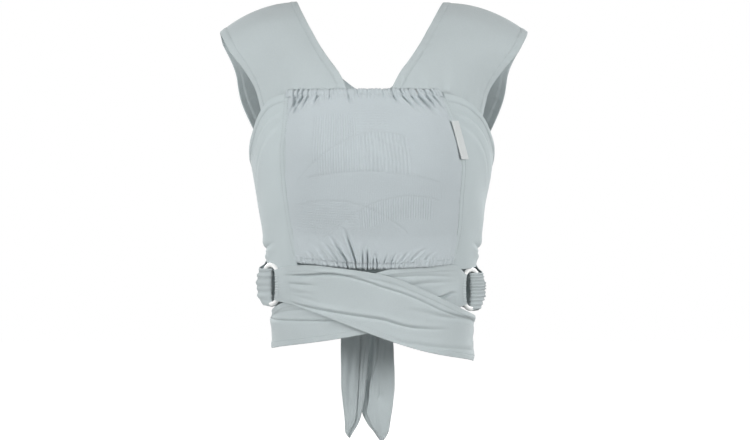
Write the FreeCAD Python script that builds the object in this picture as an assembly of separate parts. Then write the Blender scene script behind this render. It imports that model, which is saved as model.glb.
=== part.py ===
"""Baby wrap sling, worn shape: one STEP file per sub-part, in millimetres.

Frame: +X is the viewer's right when the sling is seen from the front, +Y points to the
wearer's back and +Z is up. The origin is midway between the shoulders, level with the
highest point of the straps. "left" is -X and "right" is +X.

The soft sheets follow one imagined torso, called the skin. A lift is a distance outwards
from the skin, and each layer of cloth has its own lift, so that the layers stay apart.
"""
import FreeCAD, Part
import math
import os

from FreeCAD import Vector

# ---- Driving dimensions

JERSEY = 1.2            # thickness of one strap or wing layer
PANEL = 1.0             # thickness of one pouch layer
SASH = 1.4              # thickness of a sash, which lies loosely folded
SECTION_POWER = 2.3     # 2 is an ellipse, more is squarer
OVAL_POINTS = 16        # corners of each oval that a gathered end is lofted through

TORSO = [               # height, half width, depth in front, depth behind
    (-20, 138, 70, 76),
    (-60, 150, 86, 88),
    (-110, 154, 108, 98),
    (-160, 151, 119, 102),
    (-200, 147, 121, 100),
    (-250, 139, 110, 92),
    (-300, 131, 96, 84),
    (-350, 125, 88, 79),
    (-400, 122, 86, 80),
    (-460, 121, 88, 84),
]

POUCH_TOP = -118        # upper edge of the pouch's gathered top casing
POUCH_BOTTOM = -327     # lower edge of the bottom casing, at the seams
POUCH_SAG = 7           # how much lower the bottom casing hangs in the middle
POUCH_FULLNESS = 5      # how far the front panel bellies out in the middle
CASING_HEIGHT = 9
CASING_WALL = 1.0
ELASTIC_HEIGHT = 5
SEAM_HALF_WIDTH = 6
LEFT_SEAM = [(-110, -97), (-160, -101), (-200, -104), (-250, -100), (-290, -94), (-340, -83)]
RIGHT_SEAM = [(-110, 74), (-140, 87), (-160, 96), (-200, 106), (-250, 104), (-290, 101), (-340, 90)]

LINING_LIFT = 2.3
SEAM_LIFT = 2.2
WING_LIFT = 3.4
PANEL_LIFT = 4.2
CASING_LIFT = 2.0
CASING_DEPTH = 5.2
CLEAR = 0.3             # gap between neighbouring edges of cloth

WING_TOP = [            # angle from the front, height of the armhole edge
    (36, -121), (50, -129), (58, -145), (66, -169), (75, -188), (90, -204), (116, -218),
]
WING_FRONT = 40         # rough angle at which the armhole edge meets the seam
WING_SEAM_GAP = 0.8     # angle left between the wing and the middle of the seam
WING_BOTTOM = -331      # height of the wing's lower edge at the seam
WING_BOTTOM_REAR = -319 # and at its rear corner
WING_REAR = [           # share of the way down, angle of the wing's rear edge
    (0.0, 102), (0.15, 112), (0.4, 115), (0.58, 106), (0.8, 96.5), (1.0, 87),
]
HEM = 9

RING_RADIUS = 24.0      # centre line of the wire
RING_WIRE = 3.0         # radius of the wire
RING_FACING = 60        # angle between the ring's axis and straight ahead
LEFT_RING = (-124.0, -37.0, -354.5)
RIGHT_RING = (121.5, -37.0, -360.0)
RING_CHANNEL = 0.4      # slack between the wire and the cloth sewn round it

KNOT = (-6.0, 93.0, -397.0)
KNOT_RADII = (30.0, 15.0, 21.0)
KNOT_EDGE = 158         # angle at which each sash runs into the knot
TAIL_PIVOT_Y = 94.0
TAIL_PIVOT_Z = -422.0
TAIL_THICKNESS = 5.0

LABEL_LENGTH = 46.0
LABEL_WIDTH = 10.0
LABEL_THICKNESS = 0.8
LABEL_TOP = -156.0
LABEL_LIFT = 7.8
LABEL_TURN = 2.2        # angle from the label's sewn edge out to the middle of the seam


# ---- Smooth profiles and the skin

def profile(stations, key):
    """Values at key on a smooth curve through stations, whose first item is the key."""
    rows = sorted(stations)
    last = len(rows) - 1
    i = 0
    while i < last - 1 and key > rows[i + 1][0]:
        i += 1
    start, end = rows[i], rows[i + 1]
    before = rows[max(i - 1, 0)]
    after = rows[min(i + 2, last)]
    span = end[0] - start[0]
    t = min(max((key - start[0]) / span, 0.0), 1.0)
    out = []
    for k in range(1, len(start)):
        slope_in = (end[k] - before[k]) / (end[0] - before[0]) * span
        slope_out = (after[k] - start[k]) / (after[0] - start[0]) * span
        out.append(
            (2 * t ** 3 - 3 * t ** 2 + 1) * start[k]
            + (t ** 3 - 2 * t ** 2 + t) * slope_in
            + (3 * t ** 2 - 2 * t ** 3) * end[k]
            + (t ** 3 - t ** 2) * slope_out
        )
    return out if len(out) > 1 else out[0]


def mix(a, b, t):
    return a * (1 - t) + b * t


def ease(t):
    """0 below 0, 1 above 1, and smooth between."""
    t = min(max(t, 0.0), 1.0)
    return t * t * (3 - 2 * t)


def skin(angle, height, lift):
    """A point on the torso. The angle is 0 in front, 90 on the right and 180 behind."""
    half_width, front, back = profile(TORSO, height)
    turn = math.radians(angle)
    depth = front if math.cos(turn) > 0 else back
    across = abs(math.sin(turn)) / (half_width + lift)
    along = abs(math.cos(turn)) / (depth + lift)
    radius = (across ** SECTION_POWER + along ** SECTION_POWER) ** (-1 / SECTION_POWER)
    return Vector(radius * math.sin(turn), -radius * math.cos(turn), height)


def front_angle(x, height):
    """The angle at which the front of the skin has this x."""
    low, high = -89.0, 89.0
    for _ in range(40):
        middle = (low + high) / 2
        if skin(middle, height, 0).x < x:
            low = middle
        else:
            high = middle
    return (low + high) / 2


def on_skin(point, lift):
    """The point moved radially on to the skin."""
    return skin(math.degrees(math.atan2(point.x, -point.y)), point.z, lift)


# ---- Solids from sheets

def surface_through(grid):
    surface = Part.BSplineSurface()
    surface.interpolate(grid)
    return surface


def sheet_solid(place, thickness, columns=14, rows=8):
    """A closed sheet. place(u, v, lift) gives a point, with u and v from 0 to 1."""
    def grid(lift):
        return [
            [place(i / (columns - 1), j / (rows - 1), lift) for j in range(rows)]
            for i in range(columns)
        ]

    outer = surface_through(grid(thickness))
    inner = surface_through(grid(0.0))
    faces = [outer.toShape(), inner.toShape()]
    u0, u1, v0, v1 = outer.bounds()
    a0, a1, b0, b1 = inner.bounds()
    edges = [
        (outer.uIso(u0), inner.uIso(a0)),
        (outer.uIso(u1), inner.uIso(a1)),
        (outer.vIso(v0), inner.vIso(b0)),
        (outer.vIso(v1), inner.vIso(b1)),
    ]
    for top, bottom in edges:
        faces.append(Part.makeRuledSurface(top.toShape(), bottom.toShape()))
    shell = Part.makeShell(faces)
    shell.sewShape()
    return facing_out(Part.makeSolid(shell))


def facing_out(solid):
    if solid.Volume < 0:
        solid.reverse()
    return solid


def loft_through(sections):
    """A faceted loft through ovals given as (centre, long half, short half, short direction)."""
    up = Vector(0, 0, 1)
    turns = [2 * math.pi * i / OVAL_POINTS for i in range(OVAL_POINTS)]
    wires = []
    for centre, long_half, short_half, outwards in sections:
        along = up * long_half
        across = outwards * short_half
        oval = [centre + along * math.cos(t) + across * math.sin(t) for t in turns]
        wires.append(Part.makePolygon(oval + [oval[0]]))
    return facing_out(Part.makeLoft(wires, True, True))


# ---- Pouch

def pouch_width(u, height):
    """The angle u of the way from the left seam to the right seam."""
    left = front_angle(profile(LEFT_SEAM, height), height)
    right = front_angle(profile(RIGHT_SEAM, height), height)
    return mix(left, right, u)


def pouch_bottom(u):
    return POUCH_BOTTOM - POUCH_SAG * math.sin(math.pi * u)


def pouch_place(top, bottom, base_lift, fullness=0.0, inset=0.0):
    """A place function between two heights, inset from each seam by a share of the width."""
    def place(u, v, lift):
        across = mix(inset, 1 - inset, u)
        height = mix(top, bottom(across), v)
        belly = fullness * math.sin(math.pi * u) * math.sin(math.pi * v)
        return skin(pouch_width(across, height), height, base_lift + belly + lift)
    return place


def pouch_sheet(base_lift, thickness, fullness, inset):
    top = POUCH_TOP - CASING_HEIGHT - CLEAR
    return sheet_solid(
        pouch_place(top, lambda u: pouch_bottom(u) + CASING_HEIGHT + CLEAR, base_lift, fullness, inset),
        thickness, 14, 18,
    )


def casing(top):
    """A flat tube of cloth along the pouch, open at both ends, and the elastic inside it."""
    def strip(margin, overrun, lift, depth):
        def place(u, v, extra):
            across = mix(-overrun, 1 + overrun, u)
            height = top(min(max(across, 0.0), 1.0)) - mix(margin, CASING_HEIGHT - margin, v)
            return skin(pouch_width(across, height), height, lift + extra)
        return sheet_solid(place, depth, 14, 4)

    outside = strip(0.0, 0.0, CASING_LIFT, CASING_DEPTH)
    hollow = strip(CASING_WALL, 0.03, CASING_LIFT + CASING_WALL, CASING_DEPTH - 2 * CASING_WALL)
    elastic_margin = (CASING_HEIGHT - ELASTIC_HEIGHT) / 2
    elastic = strip(elastic_margin, -0.01, CASING_LIFT + 1.8, CASING_DEPTH - 3.6)
    return outside.cut(hollow), elastic


def seam_tape(seam):
    def place(u, v, lift):
        height = mix(POUCH_TOP - CASING_HEIGHT - 2, POUCH_BOTTOM + CASING_HEIGHT + 1, v)
        x = profile(seam, height) + mix(-SEAM_HALF_WIDTH, SEAM_HALF_WIDTH, u)
        return skin(front_angle(x, height), height, SEAM_LIFT + lift)
    return sheet_solid(place, 0.8, 4, 12)


# ---- Wings

def wing_place(side, seam, base_lift):
    def place(u, v, lift):
        rear = profile(WING_REAR, v)
        rough = mix(WING_FRONT, rear, u)
        bottom = mix(WING_BOTTOM, WING_BOTTOM_REAR, ease(u))
        height = mix(profile(WING_TOP, rough), bottom, v)
        edge = abs(front_angle(profile(seam, height), height)) + WING_SEAM_GAP
        return skin(side * mix(edge, rear, u), height, base_lift + lift)
    return place


def armhole_hem(side, seam):
    """The turned edge inside the wing's armhole."""
    wing = wing_place(side, seam, WING_LIFT)

    def place(u, v, lift):
        edge = wing(mix(0.22, 0.97, u), 0.0, 0.0)
        lower = Vector(edge.x, edge.y, edge.z - HEM * v)
        return on_skin(lower, WING_LIFT - JERSEY - CLEAR + lift)
    return sheet_solid(place, JERSEY * 0.8, 20, 4)


# ---- Straps. x is written for a strap that is worn on the right shoulder.

STRAP = [   # key, inner edge xyz, outer edge xyz, bulge xyz, how far it lies on the skin
    (0.0, 26, -107, -124, 124, -66, -154, 0, -1, 0, 1.0),
    (1.0, 38, -102, -100, 141, -60, -124, 0, -9, 1, 1.0),
    (2.0, 54, -88, -77, 158, -48, -96, 1, -9, 3, 0.4),
    (3.0, 73, -62, -46, 174, -32, -69, 1, -6, 6, 0.0),
    (4.0, 86, -36, -21, 184, -16, -51, 1, -4, 8, 0.0),
    (5.0, 94, 0, -4, 189, 4, -42, 2, 0, 10, 0.0),
    (6.0, 92, 36, -15, 188, 26, -54, 2, 4, 8, 0.0),
    (7.0, 80, 66, -45, 180, 48, -88, 2, 6, 5, 0.2),
    (8.0, 50, 90, -82, 166, 58, -136, 1, 8, 2, 0.15),
    (9.0, 6, 102, -116, 148, 76, -208, 0, 8, 1, 1.0),
    (10.0, -50, 100, -148, 82, 94, -284, 0, 8, 0, 1.0),
    (11.0, -104, 84, -184, 8, 92, -344, 0, 8, 0, 1.0),
    (12.0, -138, 54, -226, -66, 80, -371, 0, 8, 0, 1.0),
    (13.0, -121, 50, -277, -112, 46, -383, 0, 5, 0, 1.0),
]
STRAP_SPLIT = 7.0       # key where the shoulder stretch meets the back stretch
STRAP_END = 13.0
STRAP_WIDEN = {-1: 0.0, 1: 6.0}     # the right strap is spread a little wider in front


def strap_place(side, start, end, over):
    """side is the shoulder it is worn on. over is the extra lift where the straps cross."""
    def place(u, v, lift):
        key = mix(start, end, v)
        row = profile(STRAP, key)
        widen = STRAP_WIDEN[side] * ease((STRAP_SPLIT - key) / 3)
        inner = Vector(side * (row[0] - widen), row[1], row[2])
        outer = Vector(side * (row[3] + widen), row[4], row[5])
        bulge = Vector(side * row[6], row[7], row[8])
        chord = inner * (1 - u) + outer * u
        crossing = over * ease((key - STRAP_SPLIT) / 1.2) * ease((STRAP_END - key) / 1.5)
        free = chord + bulge * (4 * u * (1 - u)) + bulge.normalize() * (lift + crossing)
        laid = on_skin(chord, lift + crossing)
        lay = min(max(row[9], 0.0), 1.0)
        return free * (1 - lay) + laid * lay
    return place


def anchor_patch(side):
    """The stitched patch that holds a strap's end behind the pouch's top corner."""
    def place(u, v, lift):
        height = mix(-126, -136, v)
        x = side * mix(52, 76, u)
        return skin(front_angle(x, height), height, JERSEY + CLEAR + lift)
    return sheet_solid(place, 0.4, 6, 4)


# ---- Sashes

LEFT_SASH = [   # angle, top height, bottom height, lift
    (-55, -331, -377, 5.6),
    (-41, -330, -386, 5.6),
    (-25, -333, -397, 5.6),
    (0, -339, -413, 5.6),
    (19, -347, -424, 5.6),
    (41, -365, -436, 8.2),
    (62, -385, -444, 9.6),
    (80, -393, -449, 3.6),
    (95, -395, -450, 2.6),
    (120, -386, -440, 2.6),
    (KNOT_EDGE, -378, -417, 4.0),
]
RIGHT_SASH = [
    (-KNOT_EDGE, -378, -415, 4.0),
    (-120, -386, -426, 2.6),
    (-95, -391, -433, 2.6),
    (-80, -389, -433, 2.6),
    (-64, -384, -429, 2.6),
    (-45, -372, -424, 2.6),
    (-24, -356, -418, 2.6),
    (0, -342, -411, 2.6),
    (17, -335, -407, 2.6),
    (41, -334, -395, 2.6),
    (55, -335, -385, 5.6),
]
HIP = 95


def sash_place(stations, start, end):
    def place(u, v, lift):
        angle = mix(start, end, u)
        top, bottom, base = profile(stations, angle)
        return skin(angle, mix(top, bottom, v), base + lift)
    return place


# ---- Rings and the cloth gathered on them

def ring_frame(side):
    """The ring's axis, which points outwards, and the direction round to the back."""
    turn = math.radians(RING_FACING)
    axis = Vector(side * math.sin(turn), -math.cos(turn), 0)
    rearwards = Vector(side * math.cos(turn), math.sin(turn), 0)
    return axis, rearwards


def ring(side, centre):
    axis, _ = ring_frame(side)
    return Part.makeTorus(RING_RADIUS, RING_WIRE, Vector(*centre), axis)


def ring_channel(side, centre):
    axis, _ = ring_frame(side)
    return Part.makeTorus(RING_RADIUS, RING_WIRE + RING_CHANNEL, Vector(*centre), axis)


def placed_on(side, shape):
    """A shape made for the right ring, or that shape mirrored and moved to the left ring."""
    if side > 0:
        return shape
    flipped = shape.mirror(Vector(0, 0, 0), Vector(1, 0, 0))
    flipped.translate(Vector(*LEFT_RING) - Vector(-RIGHT_RING[0], RIGHT_RING[1], RIGHT_RING[2]))
    return flipped


def ring_gather(side):
    """The ruched end of a back strap, from the back round the ring's rear wire."""
    axis, rearwards = ring_frame(1)
    rear_wire = Vector(*RIGHT_RING) + rearwards * RING_RADIUS
    sections = [
        (skin(110.5, -331, 3.4), 43, 2.6, Vector(0.94, 0.34, 0)),
        (skin(100, -342, 5.5), 33, 3.8, Vector(0.98, 0.18, 0)),
        (skin(92, -353, 8.5), 25, 5.4, Vector(1, 0, 0)),
        (rear_wire, 18, 6.6, axis),
        (rear_wire - rearwards * 9, 14, 3.6, axis),
    ]
    return placed_on(side, loft_through(sections).cut(ring_channel(1, RIGHT_RING)))


def sash_root(side):
    """The sewn start of a sash, rolled round the ring's front wire."""
    axis, rearwards = ring_frame(1)
    front_wire = Vector(*RIGHT_RING) - rearwards * RING_RADIUS
    height = RIGHT_RING[2]
    sections = [
        (front_wire + rearwards * 6, 14, 3.0, axis),
        (front_wire, 18, 5.8, axis),
        (skin(60.5, height, 8.5), 20, 3.6, Vector(0.72, -0.69, 0)),
        (skin(56, height + 0.5, 6.6), 22, 0.9, Vector(0.66, -0.75, 0)),
    ]
    return placed_on(side, loft_through(sections).cut(ring_channel(1, RIGHT_RING)))


# ---- Knot and tails

def waist_knot():
    ball = Part.makeSphere(1.0)
    grow = FreeCAD.Matrix()
    grow.scale(*KNOT_RADII)
    knot = ball.transformGeometry(grow)
    knot.translate(Vector(*KNOT))
    return knot


def tail(outline):
    """A folded band end that hangs from a rounded root on the tail's pivot line."""
    points = [Vector(x, TAIL_PIVOT_Y - TAIL_THICKNESS / 2, z) for x, z in outline]
    blade = Part.Face(Part.makePolygon(points + [points[0]])).extrude(Vector(0, TAIL_THICKNESS, 0))
    low = min(x for x, z in outline[:2])
    high = max(x for x, z in outline[:2])
    root = Part.makeCylinder(
        TAIL_THICKNESS / 2, high - low, Vector(low, TAIL_PIVOT_Y, TAIL_PIVOT_Z), Vector(1, 0, 0)
    )
    return blade.fuse(root).removeSplitter()


LEFT_TAIL = [(-40, TAIL_PIVOT_Z), (-3, TAIL_PIVOT_Z), (-3, -502), (-16, -524), (-21, -547),
             (-29, -557), (-36, -545), (-39, -510)]
RIGHT_TAIL = [(-1, TAIL_PIVOT_Z), (28, TAIL_PIVOT_Z), (27, -530), (25, -548), (14, -560),
              (-2, -549), (-12, -525), (-6, -509), (-1, -500)]


# ---- Side label

def label_root(height):
    """A point on the line along which the label is sewn in, and the way out across the wing."""
    angle = front_angle(profile(RIGHT_SEAM, height), height) - LABEL_TURN
    root = skin(angle, height, LABEL_LIFT)
    return root, (skin(angle + 5.0, height, LABEL_LIFT) - root).normalize()


def side_label():
    """A blank folded tape that is sewn along its long edge into the right seam."""
    top, across = label_root(LABEL_TOP)
    bottom, _ = label_root(LABEL_TOP - LABEL_LENGTH)
    down = bottom - top
    outwards = down.cross(across).normalize()
    corners = [top, top + across * LABEL_WIDTH, bottom + across * LABEL_WIDTH, bottom, top]
    return Part.Face(Part.makePolygon(corners)).extrude(outwards * LABEL_THICKNESS)


# ---- Assembly

def sub_parts():
    left_wing = wing_place(-1, LEFT_SEAM, WING_LIFT)
    right_wing = wing_place(1, RIGHT_SEAM, WING_LIFT)
    top_casing, top_elastic = casing(lambda u: POUCH_TOP)
    bottom_casing, bottom_elastic = casing(lambda u: pouch_bottom(u) + CASING_HEIGHT)
    return {
        "pouch_front_panel": pouch_sheet(PANEL_LIFT, PANEL, POUCH_FULLNESS, 0.003),
        "pouch_lining": pouch_sheet(LINING_LIFT, PANEL, 0.0, 0.04),
        "pouch_top_casing": top_casing,
        "pouch_bottom_casing": bottom_casing,
        "top_elastic": top_elastic,
        "bottom_elastic": bottom_elastic,
        "left_panel_seam": seam_tape(LEFT_SEAM),
        "right_panel_seam": seam_tape(RIGHT_SEAM),
        "left_wing": sheet_solid(left_wing, JERSEY, 14, 20),
        "right_wing": sheet_solid(right_wing, JERSEY, 14, 20),
        "left_armhole_hem": armhole_hem(-1, LEFT_SEAM),
        "right_armhole_hem": armhole_hem(1, RIGHT_SEAM),
        "left_shoulder_strap": sheet_solid(strap_place(-1, 0, STRAP_SPLIT, 0), JERSEY, 8, 22),
        "right_shoulder_strap": sheet_solid(strap_place(1, 0, STRAP_SPLIT, 0), JERSEY, 8, 22),
        "left_back_strap": sheet_solid(strap_place(-1, STRAP_SPLIT, STRAP_END, 0), JERSEY, 8, 22),
        "right_back_strap": sheet_solid(strap_place(1, STRAP_SPLIT, STRAP_END, 2.4), JERSEY, 8, 22),
        "back_cross_patch": sheet_solid(
            lambda u, v, lift: skin(180 + mix(-19, 19, u), mix(-165, -225, v), 5.4 + lift), JERSEY, 8, 8
        ),
        "strap_anchor_patches": Part.makeCompound([anchor_patch(-1), anchor_patch(1)]),
        "left_ring_gather": ring_gather(-1),
        "right_ring_gather": ring_gather(1),
        "left_sash_root": sash_root(-1),
        "right_sash_root": sash_root(1),
        "left_sash_front": sheet_solid(sash_place(LEFT_SASH, -55, HIP), SASH, 26, 6),
        "right_sash_front": sheet_solid(sash_place(RIGHT_SASH, -HIP, 55), SASH, 26, 6),
        "left_sash_back": sheet_solid(sash_place(LEFT_SASH, HIP, KNOT_EDGE), SASH, 14, 6),
        "right_sash_back": sheet_solid(sash_place(RIGHT_SASH, -KNOT_EDGE, -HIP), SASH, 14, 6),
        "waist_knot": waist_knot(),
        "left_ring": ring(-1, LEFT_RING),
        "right_ring": ring(1, RIGHT_RING),
        "left_tail": tail(LEFT_TAIL),
        "right_tail": tail(RIGHT_TAIL),
        "side_label": side_label(),
    }


def main():
    os.makedirs("parts", exist_ok=True)
    for name, shape in sub_parts().items():
        print(f"{name:24s} valid {shape.isValid()}  volume {shape.Volume:10.1f} mm3")
        shape.exportStep(f"parts/{name}.step")


main()
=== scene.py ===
"""The baby wrap sling's looks: knitted cloth, stitching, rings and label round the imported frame.

Shapes are worked out in millimetres in the sling's own frame (+X to the right of the front
view, +Y to the wearer's back, +Z up), and turn into metres when a mesh is made. The torso
that the cloth follows, called the skin, and the routes of straps and sashes are the frame's.
"""
import math

import bpy
import numpy as np
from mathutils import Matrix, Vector


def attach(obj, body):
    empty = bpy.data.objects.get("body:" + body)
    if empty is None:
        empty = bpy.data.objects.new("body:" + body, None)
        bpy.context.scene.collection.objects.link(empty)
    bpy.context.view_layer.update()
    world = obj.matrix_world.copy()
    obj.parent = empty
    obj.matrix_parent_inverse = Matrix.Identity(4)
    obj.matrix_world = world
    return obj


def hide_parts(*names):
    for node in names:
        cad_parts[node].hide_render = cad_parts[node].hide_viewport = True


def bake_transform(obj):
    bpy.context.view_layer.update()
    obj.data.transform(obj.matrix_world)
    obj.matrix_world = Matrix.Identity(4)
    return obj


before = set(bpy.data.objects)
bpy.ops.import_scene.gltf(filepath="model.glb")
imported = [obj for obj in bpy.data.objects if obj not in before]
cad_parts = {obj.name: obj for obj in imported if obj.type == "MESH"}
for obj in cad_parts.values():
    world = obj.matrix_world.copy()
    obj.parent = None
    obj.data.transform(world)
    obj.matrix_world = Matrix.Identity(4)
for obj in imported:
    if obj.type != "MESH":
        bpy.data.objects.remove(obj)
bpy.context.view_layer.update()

# ---- Sizes shared with the frame

MM = 0.001
UP = np.array([0.0, 0.0, 1.0])
BACKWARDS = np.array([0.0, 1.0, 0.0])
BODY_CENTRE = np.array([0.0, 0.0, -260.0])

JERSEY = 1.2
PANEL = 1.0
SASH = 1.4
SECTION_POWER = 2.3

TORSO = [               # height, half width, depth in front, depth behind
    (-20, 138, 70, 76), (-60, 150, 86, 88), (-110, 154, 108, 98), (-160, 151, 119, 102),
    (-200, 147, 121, 100), (-250, 139, 110, 92), (-300, 131, 96, 84), (-350, 125, 88, 79),
    (-400, 122, 86, 80), (-460, 121, 88, 84),
]

POUCH_TOP = -118
POUCH_BOTTOM = -327
POUCH_SAG = 7
POUCH_FULLNESS = 5
PANEL_INSET = 7.5       # from the pouch's edge to the panel's, which laps over the casing
POUCH_WIDTH = 215       # along the cloth, from seam to seam
PANEL_LENGTH = 200      # and from top to bottom
CASING_HEIGHT = 9
CASING_LIFT = 2.0
CASING_DEPTH = 5.2
LEFT_SEAM = [(-110, -97), (-160, -101), (-200, -104), (-250, -100), (-290, -94), (-340, -83)]
RIGHT_SEAM = [(-110, 74), (-140, 87), (-160, 96), (-200, 106), (-250, 104), (-290, 101), (-340, 90)]

SEAM_LENGTH = 205
SEAM_WIDTH = 7.2
SEAM_LIFT = 5.1
SEAM_ROW = 2.1          # from a seam's middle to each of its two rows of stitches

LINING_LIFT = 2.3
LINING_WIDTH = 0.92     # as a share of the pouch's
WING_LIFT = 3.4
PANEL_LIFT = 4.2

WING_TOP = [            # angle from the front, height of the armhole edge
    (36, -121), (50, -129), (58, -145), (66, -169), (75, -188), (90, -204), (116, -218),
]
WING_FRONT = 40
WING_SEAM_GAP = 0.8
WING_BOTTOM = -335
WING_BOTTOM_REAR = -333
WING_REAR = [           # share of the way down, angle of the wing's rear edge
    (0.0, 102), (0.15, 112), (0.4, 115), (0.58, 109), (0.8, 101), (1.0, 93),
]
WING_WIDTH = 118        # along the cloth, from the seam to the rear edge
WING_LENGTH = 185
WING_SEAM_HEIGHT = 205  # from the armhole down to the bottom edge, at the seam
WING_NARROWING = 90     # and how much less it is at the rear edge

STRAP = [   # key, inner edge xyz, outer edge xyz, bulge xyz, how far it lies on the skin
    (0.0, 26, -107, -124, 124, -66, -154, 0, -1, 0, 1.0),
    (1.0, 38, -102, -100, 141, -60, -124, 0, -9, 1, 1.0),
    (2.0, 54, -88, -77, 158, -48, -96, 1, -9, 3, 0.4),
    (3.0, 73, -62, -46, 174, -32, -69, 1, -6, 6, 0.0),
    (4.0, 86, -36, -21, 184, -16, -51, 1, -4, 8, 0.0),
    (5.0, 94, 0, -4, 189, 4, -42, 2, 0, 10, 0.0),
    (6.0, 92, 36, -15, 188, 26, -54, 2, 4, 8, 0.0),
    (7.0, 80, 66, -45, 180, 48, -88, 2, 6, 5, 0.2),
    (8.0, 50, 90, -82, 166, 58, -136, 1, 8, 2, 0.15),
    (9.0, 6, 102, -116, 148, 76, -208, 0, 8, 1, 1.0),
    (10.0, -50, 100, -148, 82, 94, -284, 0, 8, 0, 1.0),
    (11.0, -104, 84, -184, 8, 92, -344, 0, 8, 0, 1.0),
    (12.0, -138, 54, -226, -66, 80, -371, 0, 8, 0, 1.0),
    (13.0, -121, 50, -277, -112, 46, -383, 0, 5, 0, 1.0),
]
STRAP_SPLIT = 7.0
STRAP_END = 13.0
STRAP_WIDEN = {-1: 0.0, 1: 6.0}
STRAP_CROSSING = {-1: 0.0, 1: 2.4}
STRAP_WIDTH = 122

LEFT_SASH = [   # angle, top height, bottom height, lift
    (-55, -331, -377, 5.6), (-41, -330, -386, 5.6), (-25, -333, -397, 5.6), (0, -339, -413, 5.6),
    (19, -347, -424, 5.6), (41, -365, -436, 8.2), (62, -385, -444, 9.6), (80, -393, -449, 3.6),
    (95, -395, -450, 2.6), (120, -386, -440, 2.6), (158, -378, -417, 4.0), (176, -386, -408, 13.0),
]
RIGHT_SASH = [
    (-176, -386, -408, 13.0), (-158, -378, -415, 4.0), (-120, -386, -426, 2.6), (-95, -391, -433, 2.6),
    (-80, -387, -433, 2.6), (-64, -376.5, -429, 2.6), (-45, -369, -424, 2.6), (-24, -356, -418, 2.6),
    (0, -341, -411, 2.6), (17, -333.5, -407, 2.6), (41, -331, -395, 2.6), (55, -330, -385, 5.6),
]
SASH_DEGREE = 2.05      # millimetres of sash to a degree round the waist
SASH_KNOT_ANGLE = 176
SASH_WIDTH = 76
SASH_HEM = 6.4

RING_RADIUS = 24.0
RING_WIRE = 3.0
RING_FACING = 60
RINGS = {-1: np.array([-124.0, -37.0, -354.5]), 1: np.array([121.5, -37.0, -360.0])}
FRONT_WIRE_ANGLE = 62.7     # where a ring's front wire stands, from straight ahead
REAR_WIRE_ANGLE = 83.3
ROLL = 5.0              # mean radius of the cloth rolled round a ring's wire
ROLL_LENGTH = math.pi * ROLL
TUCK = 11.0             # how far that cloth is sewn back under itself
RUCHE_PITCH = {-1: 6.4, 1: 3.2}     # left and right ring
# For the roll on a ring's front wire, 1, and on its rear wire, -1:
WRAPS = {1: (9.0, 4.2), -1: (25.0, 5.3)}            # reach into the ring, half thickness
ROLL_SPREAD = {1: (18.5, 18.5), -1: (19.5, 22.0)}   # above and below the wire's middle
ROLL_DROP = {1: 0.0, -1: 4.0}                       # how far its lower end bunches below the wire

KNOT = np.array([-6.0, 93.0, -397.0])
TAIL_PIVOT_Y = 94.0

LABEL_LENGTH = 46.0
LABEL_WIDTH = 10.0
LABEL_THICKNESS = 0.8
LABEL_TOP = -156.0
LABEL_LIFT = 7.8
LABEL_TURN = 2.2        # degrees in front of the seam

HEM = 11.0              # width of the turned hems
HEM_ROW = 1.6           # from a hem's inner edge to its row of stitches
WING_HEM = 10.5
WING_REAR_HEM = 6.0
PATCH_HEM = 6.0
SIDES = {-1: "left", 1: "right"}


# ---- Numbers along smooth curves

def mix(a, b, t):
    return a * (1 - t) + b * t


def ease(t):
    t = np.clip(t, 0.0, 1.0)
    return t * t * (3 - 2 * t)


def profile(stations, key):
    """Values at key on a smooth curve through stations, whose first item is the key."""
    rows = np.array(sorted(stations), float)
    key = np.asarray(key, float)
    last = len(rows) - 1
    i = np.clip(np.searchsorted(rows[:, 0], key, side="right") - 1, 0, last - 1)
    start, end = rows[i], rows[i + 1]
    before = rows[np.maximum(i - 1, 0)]
    after = rows[np.minimum(i + 2, last)]
    span = (end - start)[..., :1]
    t = np.clip((key[..., None] - start[..., :1]) / span, 0.0, 1.0)
    slope_in = (end - before) / (end - before)[..., :1] * span
    slope_out = (after - start) / (after - start)[..., :1] * span
    out = (
        (2 * t ** 3 - 3 * t ** 2 + 1) * start
        + (t ** 3 - 2 * t ** 2 + t) * slope_in
        + (3 * t ** 2 - 2 * t ** 3) * end
        + (t ** 3 - t ** 2) * slope_out
    )
    columns = [out[..., k] for k in range(1, rows.shape[1])]
    return columns if len(columns) > 1 else columns[0]


def xyz(x, y, z):
    return np.stack([x, y, z], axis=-1)


def unit(vectors):
    return vectors / np.maximum(np.linalg.norm(vectors, axis=-1, keepdims=True), 1e-9)


def skin(angle, height, lift):
    """Points on the torso. The angle is 0 in front, 90 on the right and 180 behind."""
    angle, height, lift = np.broadcast_arrays(angle, height, lift)
    half_width, front, back = profile(TORSO, height)
    turn = np.radians(angle)
    depth = np.where(np.cos(turn) > 0, front, back)
    across = np.abs(np.sin(turn)) / (half_width + lift)
    along = np.abs(np.cos(turn)) / (depth + lift)
    radius = (across ** SECTION_POWER + along ** SECTION_POWER) ** (-1 / SECTION_POWER)
    return xyz(radius * np.sin(turn), -radius * np.cos(turn), height)


def front_angle(x, height):
    """The angle at which the front of the skin has this x."""
    x, height = np.broadcast_arrays(np.asarray(x, float), np.asarray(height, float))
    low = np.full(x.shape, -89.0)
    high = np.full(x.shape, 89.0)
    for _ in range(28):
        middle = (low + high) / 2
        beyond = skin(middle, height, 0.0)[..., 0] > x
        high = np.where(beyond, middle, high)
        low = np.where(beyond, low, middle)
    return (low + high) / 2


def on_skin(points, lift):
    return skin(np.degrees(np.arctan2(points[..., 0], -points[..., 1])), points[..., 2], lift)


# ---- Folds, in millimetres

def wander(seed, x, wavelength):
    """A smooth uneven line, about -1 to 1."""
    rng = np.random.default_rng(seed)
    total = 0.0
    for _ in range(5):
        stretch = wavelength * rng.uniform(0.55, 1.7)
        total = total + np.sin(2 * math.pi * (x / stretch + rng.uniform()))
    return total / 3.0


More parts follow.
